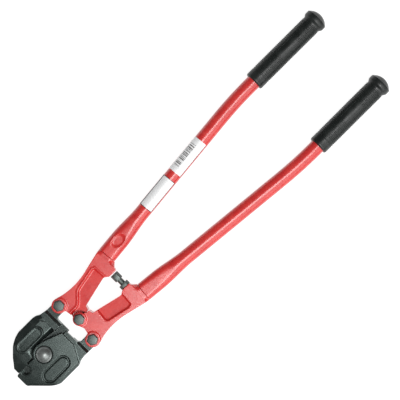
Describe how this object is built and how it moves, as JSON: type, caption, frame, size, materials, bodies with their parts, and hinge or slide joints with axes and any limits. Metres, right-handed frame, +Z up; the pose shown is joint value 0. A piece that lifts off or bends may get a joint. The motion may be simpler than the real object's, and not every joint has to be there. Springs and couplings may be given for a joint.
{
  "type": "bolt cutters",
  "caption": "Long-handled cutters: two red levers with tubular handles and black grips drive a black forged shear head with a round notch for wire rope.",
  "frame": {"origin": "on the main pivot's axis, in the plane of the fastening nuts' lower faces, which is the bench when the tool lies on its back", "axes": "+X across the tool to its right lever, +Y from the head to the handles, +Z up out of the tool's face"},
  "size_m": [0.145, 0.5944, 0.034],
  "materials": {
    "black_forging": "forged steel with a satin black coating",
    "red_forging": "red paint over forged steel",
    "red_tube": "glossy red paint",
    "steel_hardware": "dark zinc-plated steel",
    "grip_rubber": "black rubber with a block pattern",
    "label_vinyl": "white printed sticker, plain"
  },
  "bodies": {
    "right_blade": {"right_blade": "black_forging", "pivot_bolt": "steel_hardware", "pivot_washer": "steel_hardware", "pivot_nut": "steel_hardware"},
    "left_blade": {"left_blade": "black_forging"},
    "right_lever": {"right_lever": "red_forging", "right_tube": "red_tube", "right_grip": "grip_rubber", "stop_locknut": "steel_hardware", "right_blade_bolt": "steel_hardware", "right_blade_washer": "steel_hardware", "right_blade_nut": "steel_hardware", "lever_bolt": "steel_hardware", "lever_washer": "steel_hardware", "lever_nut": "steel_hardware"},
    "left_lever": {"left_lever": "red_forging", "left_tube": "red_tube", "left_grip": "grip_rubber", "lower_label": "label_vinyl", "upper_label": "label_vinyl", "left_blade_bolt": "steel_hardware", "left_blade_washer": "steel_hardware", "left_blade_nut": "steel_hardware"},
    "stop_screw": {"stop_screw": "steel_hardware"}
  },
  "joints": [
    {"name": "lever_swing", "type": "hinge", "parent": "right_blade", "child": "right_lever", "pos_m": [0.03, 0.057, 0.017], "axis": [0, 0, -1], "range_deg": [-0.5, 35]},
    {"name": "blade_swing", "type": "hinge", "parent": "right_blade", "child": "left_blade", "pos_m": [0, 0, 0.017], "axis": [0, 0, -1], "range_deg": [-0.2, 12]},
    {"name": "left_lever_swing", "type": "hinge", "parent": "left_blade", "child": "left_lever", "pos_m": [-0.03, 0.057, 0.017], "axis": [0, 0, 1], "range_deg": [-0.6, 35.5]},
    {"name": "stop_screw_turn", "type": "slide", "parent": "right_lever", "child": "stop_screw", "axis": [1, 0, 0], "range_m": [0, 0.003]}
  ],
  "couplings": [
    {"joint": "blade_swing", "follows": "lever_swing", "ratio": 0.34},
    {"joint": "left_lever_swing", "follows": "lever_swing", "ratio": 1}
  ]
}
